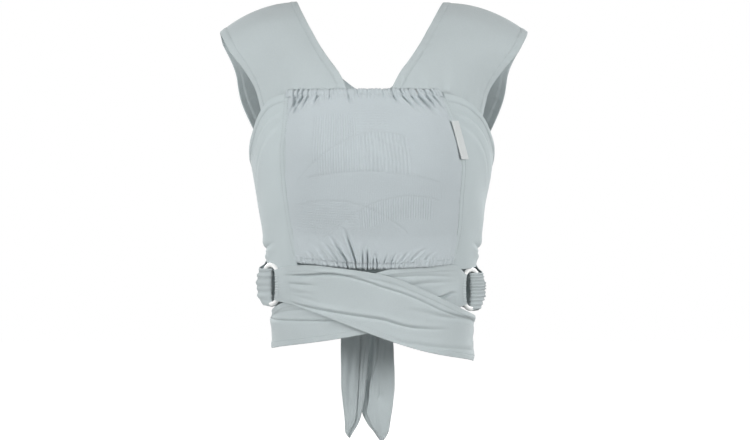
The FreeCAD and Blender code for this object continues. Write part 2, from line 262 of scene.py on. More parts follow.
def crumple(seed, s, t, wavelength):
    """A smooth uneven surface, about -1 to 1."""
    rng = np.random.default_rng(seed)
    total = 0.0
    for _ in range(7):
        turn = rng.uniform(0, math.pi)
        stretch = wavelength * rng.uniform(0.6, 1.6)
        across = s * math.cos(turn) + t * math.sin(turn)
        total = total + np.sin(2 * math.pi * (across / stretch + rng.uniform()))
    return total / 3.6


def sech(x):
    return 1.0 / np.cosh(np.clip(x, -30, 30))


def crease(distance, depth, width, lip=0.55):
    """A sharp valley with cloth standing up on its positive side, where it folds over."""
    over = np.exp(-((distance - 3.0 * width) / (2.6 * width)) ** 2)
    return -depth * sech(distance / width) + lip * depth * over


PLEAT_DEPTH = 1.75


def pleat(s, t, place, lean, length, width, depth):
    """A valley that starts at an edge, t = 0, at place along it and fades over length."""
    spread = width * (0.85 + 0.9 * np.clip(t / length, 0, 1))
    distance = s - place - lean * t
    fade = ease(1.15 * (1 - t / length))
    ridge = 0.45 * (np.exp(-((distance - 2.2 * spread) / (1.5 * spread)) ** 2)
                    + np.exp(-((distance + 2.2 * spread) / (1.5 * spread)) ** 2))
    return PLEAT_DEPTH * depth * fade * (ridge - sech(distance / spread))


def hem(distance, along, seed, width=HEM):
    """A turned and stitched edge: raised cloth, a stitched groove, and a slight pucker."""
    raised = 0.8 * ease((width - distance) / 1.5)
    groove = -0.8 * np.exp(-(distance - width + HEM_ROW) ** 2)
    pucker = 0.26 * wander(seed, along, 13.0) * np.exp(-((distance - width + 2) / 5.0) ** 2)
    return raised + groove + pucker


# ---- Meshes

def place_in_scene(name, vertices, faces, uv=None):
    """An object with smooth faces. vertices and uv are in millimetres."""
    mesh = bpy.data.meshes.new(name)
    mesh.from_pydata((np.reshape(vertices, (-1, 3)) * MM).tolist(), [], faces)
    mesh.polygons.foreach_set("use_smooth", np.ones(len(mesh.polygons), bool))
    if uv is not None:
        layer = mesh.uv_layers.new(name="cloth")
        corner = np.empty(len(mesh.loops), np.int32)
        mesh.loops.foreach_get("vertex_index", corner)
        layer.data.foreach_set("uv", (np.reshape(uv, (-1, 2)) * MM)[corner].astype(np.float32).ravel())
    mesh.validate()
    mesh.update()
    piece = bpy.data.objects.new(name, mesh)
    bpy.context.scene.collection.objects.link(piece)
    return piece


def band_faces(index, closed=False):
    """Faces between neighbouring rings of corners. closed joins the last ring to the first."""
    here = index if closed else index[..., :-1, :]
    after = np.roll(index, -1, axis=-2) if closed else index[..., 1:, :]
    corners = [here, np.roll(here, -1, axis=-1), np.roll(after, -1, axis=-1), after]
    return np.stack(corners, axis=-1).reshape(-1, 4)


class Cloth:
    """A sheet of cloth. place(u, v) gives its outer face, and relief(u, v) its folds."""

    def __init__(self, place, width, length, relief, centre=BODY_CENTRE):
        self.place = place
        self.width = width
        self.length = length
        self.relief = relief
        self.side = 1.0
        spread = np.linspace(0.05, 0.95, 12)
        points, normals = self.base(*np.meshgrid(spread, spread, indexing="ij"))
        self.side = np.sign(np.sum(normals * (points - centre)))

    def base(self, u, v):
        step = 0.002
        low_u, high_u = np.clip(u - step, 0, 1), np.clip(u + step, 0, 1)
        low_v, high_v = np.clip(v - step, 0, 1), np.clip(v + step, 0, 1)
        across = self.place(high_u, v) - self.place(low_u, v)
        along = self.place(u, high_v) - self.place(u, low_v)
        return self.place(u, v), unit(np.cross(across, along)) * self.side

    def surface(self, u, v):
        """Points of the folded outer face and the directions out of it."""
        points, normals = self.base(u, v)
        return points + normals * self.relief(u, v)[..., None], normals

    def mesh(self, name, thickness, step_u, step_v):
        columns = int(self.width / step_u) + 1
        rows = int(self.length / step_v) + 1
        u, v = np.meshgrid(np.linspace(0, 1, columns), np.linspace(0, 1, rows), indexing="ij")
        outer, _ = self.surface(u, v)
        normals = unit(np.cross(np.gradient(outer, axis=0), np.gradient(outer, axis=1))) * self.side
        flat = np.stack([u * self.width, v * self.length], axis=-1)
        return closed_sheet(name, outer, outer - normals * thickness, flat, thickness, self.side)


def closed_sheet(name, outer, inner, flat, thickness, side):
    """Two faces joined by a rounded rim."""
    columns, rows = outer.shape[:2]
    index = np.arange(columns * rows).reshape(columns, rows)
    count = columns * rows
    corners = [index[:-1, :-1], index[1:, :-1], index[1:, 1:], index[:-1, 1:]]
    quads = np.stack(corners, axis=-1).reshape(-1, 4)
    border = np.concatenate([index[:-1, 0], index[-1, :-1], index[:0:-1, -1], index[0, :0:-1]])
    inwards = np.concatenate([index[:-1, 1], index[-2, :-1], index[:0:-1, -2], index[1, :0:-1]])
    flat_outer = outer.reshape(-1, 3)
    flat_inner = inner.reshape(-1, 3)
    middle = (flat_outer[border] + flat_inner[border]) / 2
    away = unit(flat_outer[border] - flat_outer[inwards])
    rim = middle + away * thickness * 0.4
    rim_index = 2 * count + np.arange(len(border))
    ahead = np.roll(np.arange(len(border)), -1)
    first = np.stack([border, rim_index, rim_index[ahead], border[ahead]], axis=-1)
    second = np.stack([rim_index, border + count, border[ahead] + count, rim_index[ahead]], axis=-1)
    if side > 0:
        faces = np.concatenate([quads, quads[:, ::-1] + count, first, second])
    else:
        faces = np.concatenate([quads[:, ::-1], quads + count, first[:, ::-1], second[:, ::-1]])
    vertices = np.concatenate([flat_outer, flat_inner, rim])
    uv = flat.reshape(-1, 2)
    return place_in_scene(name, vertices, faces.tolist(), np.concatenate([uv, uv, uv[border]]))


def tube(name, centres, wide, thick, half_width, half_thick, relief, sides=56, closed=False):
    """A flattened tube of bunched cloth along centres. wide and thick are its directions."""
    turns = np.linspace(0, 2 * math.pi, sides, endpoint=False)
    grow = 1 + relief(np.arange(len(centres))[:, None] / len(centres), turns[None, :])
    across = np.cos(turns)[None, :, None] * (half_width[:, None] * grow)[..., None]
    deep = np.sin(turns)[None, :, None] * (half_thick[:, None] * grow)[..., None]
    rings = centres[:, None, :] + across * wide[:, None, :] + deep * thick[:, None, :]
    count = len(centres)
    index = np.arange(count * sides).reshape(count, sides)
    faces = band_faces(index, closed).tolist()
    if not closed:
        faces += [index[0, ::-1].tolist(), index[-1].tolist()]
    length = np.linspace(0, 60, count)[:, None] + 0 * turns[None, :]
    uv = np.stack([turns[None, :] * half_width.mean() + 0 * length, length], axis=-1)
    return place_in_scene(name, rings, faces, uv)


# ---- Stitches

STITCH_PITCH = 3.0
STITCH_LENGTH = 2.3
STITCH_RADIUS = 0.28


def reach_along(points):
    """Each point's distance from the first, along the line through them."""
    return np.concatenate([[0], np.cumsum(np.linalg.norm(np.diff(points, axis=0), axis=1))])


def stitch_places(cloth, u, v, pitch=STITCH_PITCH):
    """Evenly spaced points, directions along and directions out on a line of the cloth."""
    points, normals = cloth.surface(*np.broadcast_arrays(u, v))
    reach = reach_along(points)

    def read(rows, distance):
        return xyz(*(np.interp(distance, reach, rows[:, k]) for k in range(3)))

    at = np.arange(pitch / 2, reach[-1], pitch)
    centres = read(points, at)
    ahead = read(points, at + 0.5)
    return centres[:-1], unit(ahead - centres)[:-1], unit(read(normals, at))[:-1]


def stitches(name, rows, material, body="sling"):
    """Rows of short raised threads, joined in one piece."""
    centres, ahead, out = (np.concatenate([row[k] for row in rows]) for k in range(3))
    across = np.cross(ahead, out)
    places = np.array([-0.5, -0.3, 0.0, 0.3, 0.5]) * STITCH_LENGTH
    heights = np.array([-0.25, 0.16, 0.26, 0.16, -0.25])
    radii = np.array([0.35, 0.9, 1.0, 0.9, 0.35]) * STITCH_RADIUS
    sides = 6
    turns = np.linspace(0, 2 * math.pi, sides, endpoint=False)
    spine = (centres[:, None] + ahead[:, None] * places[None, :, None]
             + out[:, None] * heights[None, :, None])
    around = (np.cos(turns)[None, None, :, None] * across[:, None, None]
              + np.sin(turns)[None, None, :, None] * out[:, None, None])
    vertices = spine[:, :, None] + around * radii[None, :, None, None]
    count = len(centres)
    index = np.arange(count * len(places) * sides).reshape(count, len(places), sides)
    faces = band_faces(index).tolist() + index[:, 0, ::-1].tolist() + index[:, -1].tolist()
    finish_piece(place_in_scene(name, vertices, faces), material, body)


def finish_piece(piece, material, body="sling"):
    piece.data.materials.clear()
    piece.data.materials.append(material)
    if body:
        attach(piece, body)
    return piece


# ---- Materials

class Nodes:
    """A small helper that adds and joins a material's shader nodes."""

    def __init__(self, name):
        self.material = bpy.data.materials.new(name)
        self.material.use_nodes = True
        self.tree = self.material.node_tree
        self.shader = self.tree.nodes["Principled BSDF"]
        self.coordinates = self.add("ShaderNodeTexCoord")

    def feed(self, node, inputs):
        """Gives each input its value: a number, a colour, or another node's output."""
        for name, value in inputs.items():
            if isinstance(value, bpy.types.NodeSocket):
                self.tree.links.new(value, node.inputs[name])
            elif isinstance(value, tuple):
                node.inputs[name].default_value = (*value, 1.0)
            else:
                node.inputs[name].default_value = value

    def add(self, kind, inputs=None, **settings):
        node = self.tree.nodes.new(kind)
        for key, value in settings.items():
            setattr(node, key, value)
        self.feed(node, inputs or {})
        return node

    def split(self, source):
        """The x, y and z of the UV or Object coordinates."""
        return self.add("ShaderNodeSeparateXYZ", {0: self.coordinates.outputs[source]}).outputs

    def math(self, operation, *values):
        return self.add("ShaderNodeMath", dict(enumerate(values)), operation=operation).outputs[0]

    def wave(self, value, length):
        return self.math("SINE", self.math("MULTIPLY", value, 2 * math.pi / length))

    def noise(self, scale, detail=3.0, roughness=0.55):
        inputs = {"Scale": scale, "Detail": detail, "Roughness": roughness}
        inputs["Vector"] = self.coordinates.outputs["Object"]
        return self.add("ShaderNodeTexNoise", inputs).outputs["Fac"]

    def blend(self, factor, low, high):
        inputs = {"Factor": factor, "A": low, "B": high}
        return self.add("ShaderNodeMix", inputs, data_type="RGBA").outputs["Result"]

    def range(self, value, low, high, to_low=0.0, to_high=1.0):
        inputs = {"Value": value, "From Min": low, "From Max": high, "To Min": to_low, "To Max": to_high}
        return self.add("ShaderNodeMapRange", inputs).outputs["Result"]

    def finish(self, height, distance, inputs):
        """Sets the shader's inputs, and raises its surface by height times distance in metres."""
        bump = self.add("ShaderNodeBump", {"Height": height, "Distance": distance, "Strength": 1.0})
        self.feed(self.shader, {"Normal": bump.outputs["Normal"], **inputs})
        return self.material


def shade(colour, factor):
    return tuple(min(1.0, c * factor) for c in colour)


def knit_material(name, colour, pitch, bump=0.00022, pattern=0.0):
    """Fine jersey: columns of loops along the cloth, melange yarn and a soft sheen. A pattern above 0 paints
    shade into the valleys of the panel's knitted pattern and light onto its ridges.
    """
    n = Nodes(name)
    x, y, _ = n.split("UV")
    column = n.math("MULTIPLY", x, 2 * math.pi / pitch)
    row = n.math("MULTIPLY", y, 2 * math.pi / (pitch * 0.8))
    lean = n.math("MULTIPLY", n.math("SINE", column), 1.6)
    loops = n.math("SINE", n.math("ADD", row, lean))
    ribs = n.math("ABSOLUTE", n.math("COSINE", n.math("MULTIPLY", column, 0.5)))
    fibres = n.noise(2600.0, 2.0)
    height = n.math("ADD", n.math("MULTIPLY", ribs, 0.6), n.math("MULTIPLY", loops, 0.25))
    height = n.math("ADD", height, n.math("MULTIPLY", fibres, 0.5))
    tint = n.blend(n.range(n.noise(14.0, 3.0), 0.35, 0.65), shade(colour, 0.965), shade(colour, 1.025))
    melange = n.blend(n.range(n.noise(900.0, 4.0, 0.7), 0.3, 0.7), shade(colour, 0.90), shade(colour, 1.07))
    yarn = n.blend(0.5, tint, melange)
    if pattern:
        # Painted shade and light: the colour is scaled from 1 + pattern / 2 on the ridges of the panel's
        # knitted pattern down to 1 - pattern / 2 in its valleys.
        valley = n.add("ShaderNodeAttribute", attribute_name="pattern").outputs["Fac"]
        painted_shading_factor = n.range(valley, 0.0, 1.0, 1.0 + pattern / 2, 1.0 - pattern / 2)
        yarn = n.add("ShaderNodeVectorMath", {0: yarn, "Scale": painted_shading_factor}, operation="SCALE").outputs[0]
    return n.finish(height, bump, {
        "Base Color": yarn,
        "Roughness": n.range(n.noise(60.0), 0.3, 0.7, 0.81, 0.92),
        "Sheen Weight": 0.22,
        "Sheen Roughness": 0.5,
        "Specular IOR Level": 0.2,
    })


def thread_material(name, colour):
    n = Nodes(name)
    twist = n.noise(3800.0, 2.0)
    tint = n.blend(twist, shade(colour, 0.88), shade(colour, 1.08))
    return n.finish(twist, 0.00008, {"Base Color": tint, "Roughness": 0.55, "Sheen Weight": 0.15})


def plastic_material(name, colour):
    """Glossy moulded plastic with faint flow marks and fine scratches."""
    n = Nodes(name)
    return n.finish(n.noise(160.0, 2.0), 0.00006, {
        "Base Color": n.blend(n.noise(38.0, 3.0), shade(colour, 0.965), colour),
        "Roughness": n.range(n.noise(420.0, 5.0), 0.3, 0.75, 0.12, 0.26),
        "Coat Weight": 0.35,
        "Coat Roughness": 0.08,
    })


def tape_material(name, colour):
    """Woven satin tape."""
    n = Nodes(name)
    x, y, _ = n.split("UV")
    weave = n.math("MULTIPLY", n.wave(x, 0.0006), n.wave(y, 0.0005))
    tint = n.blend(n.range(weave, -1, 1), shade(colour, 0.95), colour)
    return n.finish(weave, 0.00007, {"Base Color": tint, "Roughness": 0.42, "Sheen Weight": 0.2})


def elastic_material(name, colour):
    """Woven elastic with ribs across it."""
    n = Nodes(name)
    x, _, _ = n.split("Object")
    ribs = n.wave(x, 0.0009)
    tint = n.blend(n.range(ribs, -1, 1), shade(colour, 0.86), colour)
    return n.finish(ribs, 0.0002, {"Base Color": tint, "Roughness": 0.7})


STRAP_COLOUR = (0.470, 0.525, 0.535)
WING_COLOUR = (0.485, 0.545, 0.556)
POUCH_COLOUR = (0.514, 0.571, 0.594)
WHITE = (0.90, 0.91, 0.90)

JERSEY_CLOTH = knit_material("jersey_knit", STRAP_COLOUR, 0.0011)
WING_CLOTH = knit_material("wing_jersey", WING_COLOUR, 0.0011)
# pattern=0.10 paints shade into the valleys of the panel's knitted pattern and light onto its ridges.
PANEL_CLOTH = knit_material("panel_knit", POUCH_COLOUR, 0.0010, bump=0.0003, pattern=0.10)
CASING_CLOTH = knit_material("casing_knit", POUCH_COLOUR, 0.0010, bump=0.0003)
THREAD = thread_material("sewing_thread", (0.40, 0.45, 0.46))
LABEL_THREAD = thread_material("label_thread", (0.80, 0.82, 0.80))
RING_PLASTIC = plastic_material("white_ring_plastic", WHITE)
LABEL_TAPE = tape_material("label_tape", (0.62, 0.65, 0.65))
ELASTIC = elastic_material("woven_elastic", (0.78, 0.80, 0.80))


# ---- Pouch

def pouch_angle(u, height):
    left = front_angle(profile(LEFT_SEAM, height), height)
    right = front_angle(profile(RIGHT_SEAM, height), height)
    return mix(left, right, u)


def pouch_bottom(u):
    return POUCH_BOTTOM - POUCH_SAG * np.sin(math.pi * u) - 2.5 * ease((u - 0.5) / 0.5)


def pouch_place(lift, fullness, inset):
    def place(u, v):
        across = mix(inset, 1 - inset, u)
        height = mix(POUCH_TOP - PANEL_INSET, pouch_bottom(across) + PANEL_INSET, v)
        belly = fullness * np.sin(math.pi * u) * np.sin(math.pi * v)
        return skin(pouch_angle(across, height), height, lift + belly)
    return place


TOP_PLEATS = [      # place along the edge, lean, length, width, depth
    (11, 0.10, 30, 1.5, 2.2), (17, -0.55, 34, 1.1, 1.7), (23, -0.60, 30, 1.2, 1.9),
    (30, -0.50, 22, 1.1, 1.5), (42, -0.45, 17, 1.5, 1.6), (58, -0.15, 13, 1.4, 1.0),
    (83, 0.25, 14, 1.2, 1.3), (97, 0.10, 7, 1.2, 0.7), (112, -0.10, 7, 1.3, 0.7),
    (134, 0.20, 9, 1.2, 0.9), (147, 0.45, 15, 1.3, 1.6), (160, 0.70, 26, 1.2, 1.7),
    (172, 0.55, 24, 1.3, 1.4), (182, 0.60, 30, 1.8, 2.3), (193, 0.35, 24, 1.3, 1.8),
    (201, 0.50, 22, 1.2, 1.5),
]
BOTTOM_PLEATS = [
    (40, -0.55, 22, 2.0, 0.8), (56, -0.70, 26, 1.4, 1.4), (68, -0.62, 34, 1.2, 2.4),
    (80, -0.30, 46, 1.1, 2.8), (90, 0.05, 30, 1.6, 1.4), (97, -0.02, 24, 1.0, 2.6),
    (105, 0.25, 16, 1.2, 1.3), (111, -0.15, 14, 1.0, 1.9), (121, 0.35, 15, 1.4, 1.3),
    (131, 0.50, 13, 1.2, 1.2), (143, 0.85, 17, 1.4, 1.1), (156, 1.1, 20, 1.6, 0.9),
    (24, -0.5, 12, 1.4, 0.7), (176, 0.9, 14, 1.6, 0.7),
]
RUFFLE_PITCH = 4.6
KNIT_DEPTH = 1.7


def pleated(s, t, pleats):
    return sum(pleat(s, t, *numbers) for numbers in pleats)


def ruffle(seed, s):
    """Small uneven gathers along an elastic, from 0 to 1."""
    drift = 1.6 * wander(seed, s, RUFFLE_PITCH * 6)
    wave = 0.5 + 0.5 * np.sin(2 * math.pi * (s + drift) / RUFFLE_PITCH)
    return wave * (0.65 + 0.35 * wander(seed + 1, s, RUFFLE_PITCH * 4))


def hill(s, centre, top, breadth, rise):
    """The height of a rolling hill line across the panel."""
    return top + rise * ((s - centre) / breadth) ** 2


def knit_relief(s, t):
    """The pouch's knitted pattern: hills filled with ribs, dashes and dots."""
    first = hill(s, 62, 22, 60, 26)
    second = hill(s, 118, 44, 70, 30)
    third = hill(s, 100, 92, 90, 16)
    fourth = hill(s, 150, 122, 70, 22)
    fifth = hill(s, 58, 128, 60, 16)
    ribs = np.cos(2 * math.pi * s / 3.0)
    broad_ribs = np.cos(2 * math.pi * s / 4.4)
    dashes = np.cos(2 * math.pi * t / 3.1) * (0.6 + 0.4 * np.sign(np.sin(2 * math.pi * s / 9.0)))
    dots = np.cos(2 * math.pi * (s + t) / 4.2) * np.cos(2 * math.pi * (s - t) / 4.2)

    def between(upper, lower):
        return ease((t - upper) / 1.2) * ease((lower - t) / 1.2)

    def inside(low, high):
        return ease((s - low) / 2.0) * ease((high - s) / 2.0)

    patches = [     # strength, texture, upper edge, lower edge, first and last place across
        (0.16, ribs, first, second, 36, 92),
        (0.15, dashes, 12, second, 82, 132),
        (0.22, broad_ribs, second, third, 96, 152),
        (0.16, ribs, second, third, 42, 96),
        (0.14, dots, third, fourth, 20, 190),
        (0.13, dashes, fifth, fifth + 34, 8, 84),
        (0.16, ribs, fourth, fourth + 26, 88, 178),
        (0.14, dots, 34, third, 154, 200),
    ]
    total = 0.0
    for strength, texture, upper, lower, low, high in patches:
        total = total + strength * texture * between(upper, lower) * inside(low, high)
    total = total - 0.20 * (sech((t - third) / 0.9) + sech((t - fourth) / 0.9)) * inside(30, 186)
    return total - 0.18 * (sech((t - second) / 0.9) + sech((t - fifth) / 0.9)) * inside(16, 150)


def paint_pattern_shading(piece):
    """Stores how far each point of the panel stands in a valley of its pattern, for painted shade in those
    valleys and painted light on the ridges between.
    """
    mesh = piece.data
    flat = np.empty(len(mesh.loops) * 2, np.float32)
    mesh.uv_layers["cloth"].data.foreach_get("uv", flat)
    corner = np.empty(len(mesh.loops), np.int32)
    mesh.loops.foreach_get("vertex_index", corner)
    uv = np.zeros((len(mesh.vertices), 2))
    uv[corner] = flat.reshape(-1, 2) / MM
    s, t = uv[:, 0], uv[:, 1]
    depth = np.clip(0.5 - 2.2 * knit_relief(s, t) * calm(t, PANEL_LENGTH - t), 0.0, 1.0)
    # The pattern attribute carries painted shade and light for the panel's colour: high in the valleys, low
    # on the ridges.
    layer = mesh.color_attributes.new("pattern", "FLOAT_COLOR", "POINT")
    layer.data.foreach_set("color", np.repeat(depth, 4).astype(np.float32))


def calm(t, b):
    """0 in the pleats at the pouch's top and bottom, 1 on the smooth stretch between."""
    return ease((t - 10) / 16) * ease((b - 16) / 20)


def pouch_panel():
    def relief(u, v):
        s = u * POUCH_WIDTH
        height = POUCH_TOP - POUCH_BOTTOM + POUCH_SAG - 2 * PANEL_INSET
        t = v * height
        b = (1 - v) * height
        fullness = 2.2 * ease(1 - t / 26) + 2.8 * ease(1 - b / 34)
        near_edge = ease(s / 8) * ease((POUCH_WIDTH - s) / 8)
        folds = pleated(s, t, TOP_PLEATS) + pleated(s, b, BOTTOM_PLEATS)
        gathers = ruffle(5, s) * ease(1 - t / 8) + 1.1 * ruffle(9, s) * ease(1 - b / 9)
        sag = 0.9 * crumple(3, s, t, 95)
        pattern = KNIT_DEPTH * knit_relief(s, t) * calm(t, b)
        return (fullness + folds + gathers + sag) * (0.25 + 0.75 * near_edge) + pattern

    place = pouch_place(PANEL_LIFT + PANEL, POUCH_FULLNESS, 0.003)
    piece = Cloth(place, POUCH_WIDTH, PANEL_LENGTH, relief).mesh("pouch_panel", PANEL, 0.72, 0.85)
    # Paints shade into the pattern's valleys and light onto its ridges.
    paint_pattern_shading(piece)
    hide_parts("pouch_front_panel")
    return finish_piece(piece, PANEL_CLOTH)


def lining():
    def relief(u, v):
        return 0.35 * crumple(17, u * PANEL_LENGTH, v * PANEL_LENGTH, 60)

    place = pouch_place(LINING_LIFT + PANEL, 0.0, 0.04)
    cloth = Cloth(place, POUCH_WIDTH * LINING_WIDTH, PANEL_LENGTH, relief)
    piece = cloth.mesh("pouch_inner_lining", PANEL * 0.8, 2.0, 2.0)
    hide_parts("pouch_lining")
    return finish_piece(piece, JERSEY_CLOTH)


def casing(name, node, edge, direction, seed, pleats):
    """Cloth folded over an elastic. direction is 1 where the fold is on top, -1 below."""
    radius = CASING_DEPTH / 2
    flat_run = CASING_HEIGHT - radius
    run = 2 * flat_run + math.pi * radius

    def place(u, v):
        along = v * run
        turn = np.clip((along - flat_run) / radius, 0, math.pi)
        behind = np.maximum(along - flat_run - math.pi * radius, 0)
        down = np.where(along < flat_run, flat_run - along, behind)
        lift = CASING_LIFT + radius + radius * np.cos(turn)
        below_fold = np.where((turn > 0) & (turn < math.pi), -radius * np.sin(turn), down)
        height = edge(u) - direction * (radius + below_fold)
        return skin(pouch_angle(u, height), height, lift)

    def relief(u, v):
        s = u * POUCH_WIDTH
        t = np.abs(v - 0.35) * run
        folds = 0.6 * pleated(s, 0.4 * t, pleats)
        gathers = 1.1 * ruffle(seed, s) * (0.6 + 0.4 * np.cos(math.pi * (v - 0.4)))
        return gathers + np.clip(folds, -2.0, 1.4) - 0.2

    piece = Cloth(place, POUCH_WIDTH, run, relief).mesh(name, 0.8, 0.8, 0.7)
    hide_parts(node)
    return finish_piece(piece, CASING_CLOTH)


def seam(side, stations):
    """A raised flat-felled seam between pouch and wing, stitched twice."""

    def place(u, v):
        height = mix(POUCH_TOP - 4, POUCH_BOTTOM + 3, v)
        x = profile(stations, height) + mix(-SEAM_WIDTH / 2, SEAM_WIDTH / 2, u)
        crown = 0.6 * (1 - (2 * u - 1) ** 4)
        return skin(front_angle(x, height), height, SEAM_LIFT + crown)

    def relief(u, v):
        s = v * SEAM_LENGTH
        across = (u - 0.5) * SEAM_WIDTH
        rows = np.exp(-((across - SEAM_ROW) / 0.7) ** 2) + np.exp(-((across + SEAM_ROW) / 0.7) ** 2)
        return 0.15 * wander(side + 40, s, 11) - 0.35 * rows + 0.25 * wander(side + 44, s, 45)

    cloth = Cloth(place, SEAM_WIDTH, SEAM_LENGTH, relief)
    piece = cloth.mesh(f"{SIDES[side]}_pouch_seam", 1.4, 0.35, 0.9)
    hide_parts(f"{SIDES[side]}_panel_seam")
    finish_piece(piece, WING_CLOTH)
    v = np.linspace(0.015, 0.985, 400)
    offset = SEAM_ROW / SEAM_WIDTH
    rows = [stitch_places(cloth, u, v) for u in (0.5 - offset, 0.5 + offset)]
    stitches(f"{SIDES[side]}_pouch_seam_stitches", rows, THREAD)


# ---- Wings

def wing(side, stations):
    """A side panel, with a hem along its armhole and its rear edge."""

    def tall(u):
        return WING_SEAM_HEIGHT - WING_NARROWING * u

    def place(u, v):
        rear = profile(WING_REAR, v)
        bottom = mix(WING_BOTTOM, WING_BOTTOM_REAR, ease(u))
        height = mix(profile(WING_TOP, mix(WING_FRONT, rear, u)), bottom, v)
        edge = np.abs(front_angle(profile(stations, height), height)) + WING_SEAM_GAP
        return skin(side * mix(edge, rear, u), height, WING_LIFT + JERSEY)

    def relief(u, v):
        s = u * WING_WIDTH
        t = v * tall(u)
        armhole = hem(t, s, 60 + side, WING_HEM)
        rear = hem((1 - u) * WING_WIDTH, t, 64 + side, WING_REAR_HEM)
        roll = 0.7 * np.exp(-((t - 3) / 9) ** 2) - 1.6 * ease((s - 55) / 30)
        corner = ease(1 - s / 60)
        first = crease(t - 19 - 0.16 * s, 1.3, 1.7) * corner * ease(s / 8)
        second = crease(t - 31 - 0.55 * s, 0.9, 2.6) * ease(1 - s / 75) * ease(s / 10)
        line = 170 - 0.62 * s
        lower = crease(t - line, 2.9, 1.9) * ease((s - 26) / 44)
        tuck = crease(t - line - 9 + 0.04 * s, 1.8, 1.5) * ease((s - 50) / 26)
        soft = 0.8 * crumple(70 + side, s, t, 80) * ease(s / 12)
        bulge = 2.0 * np.exp(-((t - line + 8) / 8) ** 2) * ease((s - 46) / 30)
        return np.clip(armhole + rear + roll + first + second + lower + tuck + soft + bulge, -2.4, 4.0)

    cloth = Cloth(place, WING_WIDTH, WING_LENGTH, relief)
    piece = cloth.mesh(f"{SIDES[side]}_side_wing", JERSEY, 0.95, 0.95)
    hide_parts(f"{SIDES[side]}_wing", f"{SIDES[side]}_armhole_hem")
    finish_piece(piece, WING_CLOTH)
    u = np.linspace(0.02, 0.985, 500)
    rows = [stitch_places(cloth, u, (WING_HEM - HEM_ROW) / tall(u))]
    stitches(f"{SIDES[side]}_armhole_stitches", rows, THREAD)
    return piece


# ---- Cloth on the rings

def ring_frame(side):
    turn = math.radians(RING_FACING)
    axis = np.array([side * math.sin(turn), -math.cos(turn), 0.0])
    rearwards = np.array([side * math.cos(turn), math.sin(turn), 0.0])
    return axis, rearwards


def ring_wrap(side, facing, run, across):
    """Cloth that comes to a ring, rolls over its wire and is sewn back under itself.

    facing is 1 at the ring's front wire and -1 at its rear wire. run is the distance from
    the sewn edge, and across goes from 0 at the top to 1 at the bottom.
    """
    axis, rearwards = ring_frame(side)
    above, below = ROLL_SPREAD[facing]
    lean = np.arcsin(mix(above, -below, across) / RING_RADIUS)
    away = -facing * rearwards
    wire = RING_RADIUS * (np.cos(lean)[..., None] * away + np.sin(lean)[..., None] * UP)
    reach, half = WRAPS[facing]
    reach = reach - 0.8 * RING_RADIUS * (1 - np.cos(lean))
    turn = np.clip((run - TUCK) / ROLL, 0, math.pi)
    straight = np.where(run < TUCK, TUCK - run, np.maximum(run - TUCK - ROLL_LENGTH, 0))
    out = straight - reach * np.sin(turn)
    sideways = -half * np.cos(turn) * (1 - 0.22 * (lean / lean.max()) ** 2)
    drop = ROLL_DROP[facing] * ease((across - 0.55) / 0.45)
    return RINGS[side] + wire + out[..., None] * away + sideways[..., None] * axis - drop[..., None] * UP


def ring_ruches(seed, along, run, height, pitch):
    """Fine gathers that run out from a ring, strongest on the wire."""
    wave = wander(seed, along, pitch) * 0.5 + 0.5 * np.sin(2 * math.pi * along / (pitch * 1.15))
    wave = wave + 0.35 * wander(seed + 3, along + 0.3 * run, pitch * 2.6)
    return height * wave


# ---- Shoulder straps

def strap_laid(side, across, key):
    """A strap over the shoulder and across the back."""
    row = profile(STRAP, key)
    widen = STRAP_WIDEN[side] * ease((STRAP_SPLIT - key) / 3)
    inner = xyz(side * (row[0] - widen), row[1], row[2])
    outer = xyz(side * (row[3] + widen), row[4], row[5])
    bulge = xyz(side * row[6], row[7], row[8])
    u = across[..., None]
    chord = inner * (1 - u) + outer * u
    crossing = STRAP_CROSSING[side] * ease((key - STRAP_SPLIT) / 1.2) * ease((STRAP_END - key) / 1.5)
    free = chord + bulge * (4 * u * (1 - u)) + unit(bulge) * (JERSEY + crossing)[..., None]
    laid = on_skin(chord, JERSEY + crossing)
    weight = np.clip(row[9], 0.0, 1.0)[..., None]
    return free * (1 - weight) + laid * weight


def strap_key(side, distance):
    """The strap's key this far back from the end that runs to the ring."""
    keys = np.linspace(STRAP_END, 0, 160)
    middle = strap_laid(side, 0 * keys + 0.5, keys)
    reach = reach_along(middle)
    return np.interp(distance, reach, keys), reach[-1]


GATHER_LENGTH = 66.0
GATHER_END = 112.4      # the angle where the gather becomes the strap
GATHER_END_HEIGHT = -360.0
GATHER_LEVEL = 100.0    # the angle from which it leaves its ring's height for that one
GATHER = [      # angle, top height, bottom height above the ring's centre, lift of the outer face
    (REAR_WIRE_ANGLE, 19.5, -26, 13.5), (90, 21.5, -28, 9.5), (97, 27, -29, 6.5), (103, 42, -28, 4.0),
    (GATHER_END, 83, -23, 1.6),
]
GATHER_TAPER = 6.0      # how much closer to the skin its lower edge lies


def gather_laid(ring_side, across, run):
    """The strap's end, drawn together towards the ring on the other side."""
    angle = mix(REAR_WIRE_ANGLE, GATHER_END, (run - TUCK - ROLL_LENGTH) / GATHER_LENGTH)
    top, bottom, lift = profile(GATHER, angle)
    lift = lift - GATHER_TAPER * ease((across - 0.55) / 0.45) * ease((102 - angle) / 12)
    share = ease((angle - GATHER_LEVEL) / (GATHER_END - GATHER_LEVEL))
    level = mix(RINGS[ring_side][2], GATHER_END_HEIGHT, share)
    return skin(ring_side * angle, level + mix(top, bottom, across), lift)


